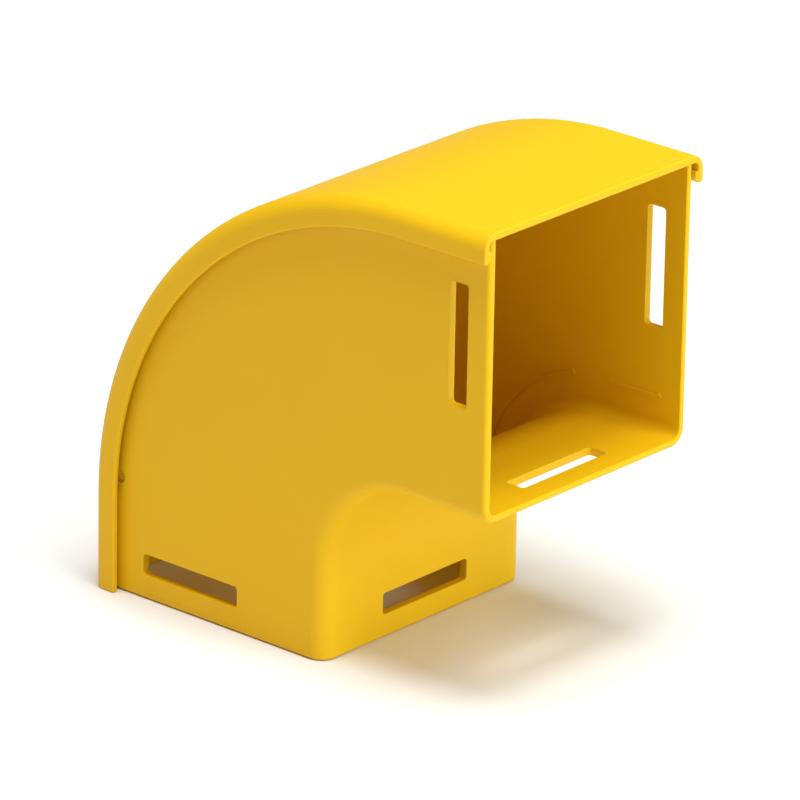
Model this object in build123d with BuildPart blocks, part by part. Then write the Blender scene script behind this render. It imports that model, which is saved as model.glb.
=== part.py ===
"""Vertical ninety degree elbow of a square fibre raceway: a bent channel and its snap-fit cover.

The duct stands on its lower open end and turns towards +X. The origin is the middle of the lower
opening, +Z runs up the standing leg, and the side walls face -Y and +Y.
"""
import os

from build123d import *

# The duct's passage, in millimetres
inside_width = 104.0  # between the two side walls
inside_height = 104.0  # from the inner bend wall to the cover
bend_radius = 39.0  # smallest radius that a fibre is led round, at the inner bend wall
straight = 38.0  # straight length before each open end

# The bent channel
wall = 3.0  # side walls and inner bend wall
inside_corner = 3.6  # inside corners between the side walls and the inner bend wall
edge_chamfer = 0.6  # broken edges along the duct
rim_chamfer = 0.4  # broken edges round the inside of the open ends and at the ends of the cover
lead_radius = 1.8  # rounded lead-in for a coupler, round the outside of the open ends

# Coupler slots, one in each wall at each open end
slot_width = 8.4
slot_length = 46.0
slot_corner = 1.4
slot_inset = 13.6  # from the open end to the middle of the slot
side_slot_shift = 10.0  # side wall slots lie this far from mid height, towards the cover

# Round holes through the side walls where the bend begins and ends, beside the lips
hole_diameter = 5.2
hole_depth = 6.8  # from the inside of the cover to the middle of the hole
hole_angle = 2.8  # degrees into the bend

# Raised witness lines of the mould inside each side wall, one round the bend and one along each leg
line_height = 13.2  # above the inner bend wall
line_width = 1.2
line_rise = 0.5
line_setback = 10.2  # from the open end
line_break = 3.0  # from the bend to the line along a leg
line_angle = 13.7  # degrees, from the ends of the bend to the line round the bend
dot_diameter = 2.2  # dot at the end of a line, left by one of the mould's ejector pins

# The snap-fit cover
cover_thickness = 3.0
cover_corner = 6.0  # outside corners
cover_gusset = 1.2  # inside corners between the cover and its lips
cover_overhang = 1.2  # past the channel at the upper open end
lip_thickness = 2.5
lip_length = 8.0  # below the inside of the cover
lip_gap = 1.7  # between the lip and the side wall
seat_gap = 0.3  # between the cover and the top of the side walls

# The snap: a ridge along each side wall's top, and a hook along each lip that passes under it
ridge_height = 2.2
ridge_setback = 3.0  # from the open end
snap_clearance = 0.4  # ridge to lip, hook to wall and hook to ridge
snap_root = 0.5  # how deep a ridge or hook is rooted in its wall

# Places that follow from the sizes
half_height = inside_height / 2
half_width = inside_width / 2
body_face = half_width + wall
lip_face = body_face + lip_gap
cover_face = lip_face + lip_thickness
hole_radius = bend_radius + inside_height - hole_depth  # about the bend's axis
first_hole = 90 + hole_angle
holes_apart = 90 - 2 * hole_angle
bend_x = half_height + bend_radius
upper_z = straight + bend_x  # middle of the upper opening
upper_end_x = bend_x + straight
wall_top = half_height - seat_gap  # from the middle of the duct, towards the cover
ridge_top = wall_top - edge_chamfer
ridge_foot = ridge_top - ridge_height
ridge_face = lip_face - snap_clearance
hook_top = ridge_foot - snap_clearance
hook_face = body_face + snap_clearance
hook_rise = lip_face - hook_face
lip_end = half_height - lip_length
hook_foot = lip_end + edge_chamfer
line_radius = bend_radius + line_height
line_length = straight - line_setback - line_break
lower_line_x = half_height - line_height
upper_line_z = upper_z - lower_line_x
bend_line = CenterArc((bend_x, straight), line_radius, 90 + line_angle, 90 - 2 * line_angle)

# In each section plane, local x points from the middle of the duct to the inner bend wall, local y to +Y
bend_axis = Axis((bend_x, 0, straight), (0, 1, 0))
upper_plane = Plane(origin=(bend_x, 0, upper_z), x_dir=(0, 0, -1), z_dir=(1, 0, 0))


def lower_plane(height):
    """Section plane across the standing leg."""
    return Plane.XY.offset(height)


def channel_section(plane):
    """U-shaped section of the channel, open towards the cover."""
    with BuildSketch(plane) as section:
        with Locations(((half_height + wall - wall_top) / 2, 0)):
            Rectangle(wall_top + half_height + wall, 2 * body_face)
        with Locations(((half_height - wall_top) / 2, 0)):
            Rectangle(wall_top + half_height, inside_width, mode=Mode.SUBTRACT)
        fillet(section.vertices().group_by(Axis.X)[1], inside_corner)
        fillet(section.vertices().group_by(Axis.X)[-1], inside_corner + wall)
        chamfer(section.vertices().group_by(Axis.X)[0], edge_chamfer)
    return section.sketch


def ridge_section(plane):
    """Snap ridge outside the top of each side wall: sloped above, square below."""
    with BuildSketch(plane) as section:
        with BuildLine():
            Polyline(
                (-ridge_top, body_face - snap_root),
                (-ridge_top, body_face),
                (-(ridge_top + ridge_foot) / 2, ridge_face),
                (-ridge_foot, ridge_face),
                (-ridge_foot, body_face - snap_root),
                close=True,
            )
        make_face()
        mirror(about=Plane.XZ)
    return section.sketch


def cover_section(plane):
    """Cover plate with its two lips, rounded along the outside."""
    with BuildSketch(plane) as section:
        with Locations((-(half_height + cover_thickness + lip_end) / 2, 0)):
            Rectangle(half_height + cover_thickness - lip_end, 2 * cover_face)
        with Locations((-(half_height + lip_end) / 2, 0)):
            Rectangle(lip_length, 2 * lip_face, mode=Mode.SUBTRACT)
        chamfer(section.vertices().group_by(Axis.X)[1], cover_gusset)
        fillet(section.vertices().group_by(Axis.X)[0], cover_corner)
        chamfer(section.vertices().group_by(Axis.X)[-1], edge_chamfer)
    return section.sketch


def hook_section(plane):
    """Hook along the inside of each lip, square above and sloped below to ride over the ridge."""
    with BuildSketch(plane) as section:
        with BuildLine():
            Polyline(
                (-hook_top, lip_face + snap_root),
                (-hook_top, hook_face),
                (-hook_foot - hook_rise, hook_face),
                (-hook_foot, lip_face),
                (-hook_foot, lip_face + snap_root),
                close=True,
            )
        make_face()
        mirror(about=Plane.XZ)
    return section.sketch


def straight_legs(section, lower_start, upper_end):
    """Run a section along both straight legs, from lower_start to upper_end."""
    extrude(section(lower_plane(lower_start)), amount=straight - lower_start)
    extrude(section(upper_plane), amount=upper_end)


def whole_elbow(section, lower_start, upper_end):
    """Run a section along the standing leg, round the bend and along the upper leg."""
    straight_legs(section, lower_start, upper_end)
    revolve(section(lower_plane(straight)), axis=bend_axis, revolution_arc=90)


def end_rims(part):
    """Edges of the two open end faces of a piece."""
    lower = part.faces().filter_by(Axis.Z).sort_by(Axis.Z)[0]
    upper = part.faces().filter_by(Axis.X).sort_by(Axis.X)[-1]
    return lower.edges() + upper.edges()


def wall_depths(edge):
    """How deep in the wall the corners of an open end's edge lie, from the passage outwards."""
    depths = []
    for corner in edge.vertices():
        height = corner.X if edge.center().X < bend_x else upper_z - corner.Z
        depths.append(max(abs(corner.Y) - half_width, height - half_height))
    return depths


def is_outside(edge):
    """Whether an open end's edge runs along the outside of the channel."""
    return min(wall_depths(edge)) > wall - edge_chamfer / 2


def is_inside(edge):
    """Whether an open end's edge runs along the passage."""
    return max(wall_depths(edge)) < edge_chamfer / 2


# Bent channel
with BuildPart() as elbow_body:
    whole_elbow(channel_section, 0, straight)
    fillet(end_rims(elbow_body.part).filter_by(is_outside), lead_radius)
    chamfer(end_rims(elbow_body.part).filter_by(is_inside), rim_chamfer)
    straight_legs(ridge_section, ridge_setback, straight - ridge_setback)
    # Witness lines on the inside of both side walls
    for side in (-half_width, half_width):
        with BuildSketch(Plane.XZ.offset(side)) as witness_lines:
            SlotArc(bend_line, line_width)
            with Locations((lower_line_x, line_setback + line_length / 2)):
                SlotOverall(line_length, line_width, rotation=90)
            with Locations((upper_end_x - line_setback - line_length / 2, upper_line_z)):
                SlotOverall(line_length, line_width)
            with Locations((lower_line_x, line_setback), (upper_end_x - line_setback, upper_line_z)):
                Circle(dot_diameter / 2)
            with Locations(bend_line @ 0, bend_line @ 1):
                Circle(dot_diameter / 2)
        extrude(amount=line_rise, both=True)
    # Coupler slots through both side walls
    with BuildSketch(Plane.XZ) as side_slots:
        with Locations((-side_slot_shift, slot_inset)):
            RectangleRounded(slot_length, slot_width, slot_corner)
        with Locations((upper_end_x - slot_inset, upper_z + side_slot_shift)):
            RectangleRounded(slot_width, slot_length, slot_corner)
    extrude(amount=body_face, both=True, mode=Mode.SUBTRACT)
    # Coupler slots through the inner bend wall, at the lower and the upper end
    with BuildSketch(Plane.YZ.offset(half_height)) as lower_slot:
        with Locations((0, slot_inset)):
            RectangleRounded(slot_length, slot_width, slot_corner)
    extrude(amount=wall, mode=Mode.SUBTRACT)
    with BuildSketch(Plane.XY.offset(upper_z - half_height)) as upper_slot:
        with Locations((upper_end_x - slot_inset, 0)):
            RectangleRounded(slot_width, slot_length, slot_corner)
    extrude(amount=-wall, mode=Mode.SUBTRACT)
    # Round holes beside the lips, through both side walls
    with BuildSketch(Plane.XZ) as lip_holes:
        with Locations((bend_x, straight)):
            with PolarLocations(hole_radius, 2, first_hole, holes_apart, endpoint=True):
                Circle(hole_diameter / 2)
    extrude(amount=body_face, both=True, mode=Mode.SUBTRACT)

# Cover that closes the outside of the bend
with BuildPart() as snap_cover:
    whole_elbow(cover_section, 0, straight + cover_overhang)
    chamfer(end_rims(snap_cover.part), rim_chamfer)
    straight_legs(hook_section, rim_chamfer, straight + cover_overhang - rim_chamfer)

os.makedirs("parts", exist_ok=True)
elbow_body.part.label = "elbow_body"
snap_cover.part.label = "snap_cover"
export_step(elbow_body.part, "parts/elbow_body.step")
export_step(snap_cover.part, "parts/snap_cover.step")
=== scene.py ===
"""Vertical elbow of a yellow fibre raceway on a pale studio floor."""
import math

import bmesh
import bpy
from mathutils import Matrix, Vector

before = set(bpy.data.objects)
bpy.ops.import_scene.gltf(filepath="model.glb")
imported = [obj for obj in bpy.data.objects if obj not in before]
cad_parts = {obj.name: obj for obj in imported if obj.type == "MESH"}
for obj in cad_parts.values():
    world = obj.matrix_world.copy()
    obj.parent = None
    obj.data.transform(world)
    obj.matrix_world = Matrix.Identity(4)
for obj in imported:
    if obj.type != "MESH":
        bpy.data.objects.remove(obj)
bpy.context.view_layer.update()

# Bent channel. Two side walls and the inner bend wall, injection moulded in one piece from yellow PC/ABS
# in a spark-eroded steel mould, which leaves an even satin grain on every face.


def linear(hex_colour):
    """sRGB hex colour as linear red, green, blue and alpha."""
    parts = [int(hex_colour[i:i + 2], 16) / 255 for i in (1, 3, 5)]
    return [p / 12.92 if p <= 0.04045 else ((p + 0.055) / 1.055) ** 2.4 for p in parts] + [1.0]


def add_node(tree, kind, settings, links):
    """Adds a node. Settings name its properties or inputs, links name an input and the output it takes."""
    node = tree.nodes.new(kind)
    for name, value in settings.items():
        if hasattr(node, name):
            setattr(node, name, value)
        else:
            node.inputs[name].default_value = value
    for name, output in links.items():
        tree.links.new(output, node.inputs[name])
    return node


# Satin moulded PC/ABS: a saturated yellow all through, with a soft sheen and no clear reflections.
moulding_colour = "#ecbc10"
moulding_shade = "#e9b70c"  # where the melt flowed together, hardly darker
flow_mm = 45.0  # from one patch of the melt to the next
grain_mm = 0.7  # the real grain is about 0.1 mm, drawn as coarse as the picture can show
grain_depth_mm = 0.04
grain_strength = 0.12
satin_smooth = 0.46  # least and most roughness, which follows the flow
satin_rough = 0.54
moulding_ior = 1.55
moulding_gloss = 0.16  # a polished moulding has 0.5, and the grain dulls it
yellow_pc_abs = bpy.data.materials.new("yellow_pc_abs")
yellow_pc_abs.use_nodes = True
tree = yellow_pc_abs.node_tree
tree.nodes.clear()
on_moulding = add_node(tree, "ShaderNodeTexCoord", {}, {})
grain = add_node(
    tree, "ShaderNodeTexNoise", {"Scale": 1000 / grain_mm, "Detail": 2.0, "Roughness": 0.5},
    {"Vector": on_moulding.outputs["Object"]})
flow = add_node(
    tree, "ShaderNodeTexNoise", {"Scale": 1000 / flow_mm, "Detail": 3.0, "Roughness": 0.45},
    {"Vector": on_moulding.outputs["Object"]})
tint = add_node(
    tree, "ShaderNodeMix",
    {"data_type": "RGBA", "A": linear(moulding_colour), "B": linear(moulding_shade)},
    {"Factor": flow.outputs["Fac"]})
sheen = add_node(
    tree, "ShaderNodeMapRange", {"To Min": satin_smooth, "To Max": satin_rough},
    {"Value": flow.outputs["Fac"]})
relief = add_node(
    tree, "ShaderNodeBump", {"Strength": grain_strength, "Distance": grain_depth_mm / 1000},
    {"Height": grain.outputs["Fac"]})
skin = add_node(
    tree, "ShaderNodeBsdfPrincipled", {"IOR": moulding_ior, "Specular IOR Level": moulding_gloss},
    {"Base Color": tint.outputs["Result"], "Roughness": sheen.outputs["Result"],
     "Normal": relief.outputs["Normal"]})
add_node(tree, "ShaderNodeOutputMaterial", {}, {"Surface": skin.outputs["BSDF"]})

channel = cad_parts["elbow_body"]
channel.data.materials.clear()
channel.data.materials.append(yellow_pc_abs)

# Snap-fit cover. The curved strip that closes the outside of the bend, moulded from the same PC/ABS;
# its lips reach over the side walls and their hooks catch under a ridge along the top of each wall.
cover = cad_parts["snap_cover"]
cover.data.materials.clear()
cover.data.materials.append(yellow_pc_abs)

# Studio. A floor of matt paper under soft light: one softbox overhead, one above the side of the upper
# opening, one low in front of that opening, which lights the duct from within, and a weak warm fill on
# the near side wall. A dim white room lifts the shadows.
floor_reach = 6.0  # metres each way from the middle
paper_colour = "#ececec"
paper_roughness = 0.9
floor_mesh = bmesh.new()
bmesh.ops.create_grid(floor_mesh, x_segments=1, y_segments=1, size=floor_reach)
floor_data = bpy.data.meshes.new("floor")
floor_mesh.to_mesh(floor_data)
floor_mesh.free()
floor = bpy.data.objects.new("floor", floor_data)
bpy.context.scene.collection.objects.link(floor)
pale_paper = bpy.data.materials.new("pale_paper")
pale_paper.use_nodes = True
paper = pale_paper.node_tree.nodes["Principled BSDF"]
paper.inputs["Base Color"].default_value = linear(paper_colour)
paper.inputs["Roughness"].default_value = paper_roughness
floor_data.materials.append(pale_paper)

subject = Vector((0.03, 0.0, 0.09))  # the point in the duct that every softbox faces
softboxes = (
    # name, colour, place from the subject and width in metres, power in watts
    ("overhead_softbox", "#fbffff", (0.08, -0.25, 3.4), 1.8, 89.0),
    ("key_softbox", "#fbffff", (1.3, -0.15, 3.2), 1.8, 54.0),
    ("opening_softbox", "#f4ffff", (3.3, 0.45, 1.0), 2.4, 70.0),
    ("fill_softbox", "#ffbf8c", (-1.8, -2.8, 1.2), 2.0, 13.0),
)
for name, colour, place, width, power in softboxes:
    lamp_data = bpy.data.lights.new(name, "AREA")
    lamp_data.shape = "DISK"
    lamp_data.size = width
    lamp_data.energy = power
    lamp_data.color = linear(colour)[:3]
    lamp = bpy.data.objects.new(name, lamp_data)
    lamp.location = subject + Vector(place)
    lamp.rotation_mode = "QUATERNION"
    lamp.rotation_quaternion = (subject - lamp.location).to_track_quat("-Z", "Y")
    lamp.visible_camera = False
    bpy.context.scene.collection.objects.link(lamp)

room_colour = "#ffffff"
room_strength = 0.2
room = bpy.data.worlds.new("white_room")
room.use_nodes = True
room_light = room.node_tree.nodes["Background"]
room_light.inputs["Color"].default_value = linear(room_colour)
room_light.inputs["Strength"].default_value = room_strength
bpy.context.scene.world = room
bpy.context.scene.view_settings.view_transform = "Standard"

# Camera. A long lens a little above the fitting, in front of the corner between the near side wall
# and the upper opening. Its place and its lens were fitted to the edges in the photograph.
sensor_mm = 36.0
image_px = 800  # width of the picture
focal_px = 7911.5
camera_turn = math.radians(40.903)  # from the near side wall towards the upper opening
camera_rise = math.radians(21.604)
camera_roll = math.radians(1.065)
camera_reach = 2.869121  # metres back from the aim, then to the right and up in the picture
camera_right = 0.031341
camera_up = -0.017741
camera_far = 20.0  # metres, past the far corner of the floor
aim = Vector((-0.0005, 0.0, 0.09))
back = Vector((
    math.cos(camera_rise) * math.sin(camera_turn),
    -math.cos(camera_rise) * math.cos(camera_turn),
    math.sin(camera_rise)))
right = (-back).cross(Vector((0, 0, 1))).normalized()
up = back.cross(right)
tilted_right = right * math.cos(camera_roll) + up * math.sin(camera_roll)
tilted_up = up * math.cos(camera_roll) - right * math.sin(camera_roll)
camera_data = bpy.data.cameras.new("camera")
camera_data.sensor_width = sensor_mm
camera_data.lens = focal_px / image_px * sensor_mm
camera_data.clip_end = camera_far
camera = bpy.data.objects.new("camera", camera_data)
camera_axes = Matrix((tilted_right, tilted_up, back)).transposed()
camera.rotation_mode = "QUATERNION"
camera.rotation_quaternion = camera_axes.to_quaternion()
camera.location = aim + back * camera_reach + tilted_right * camera_right + tilted_up * camera_up
bpy.context.scene.collection.objects.link(camera)
bpy.context.scene.camera = camera
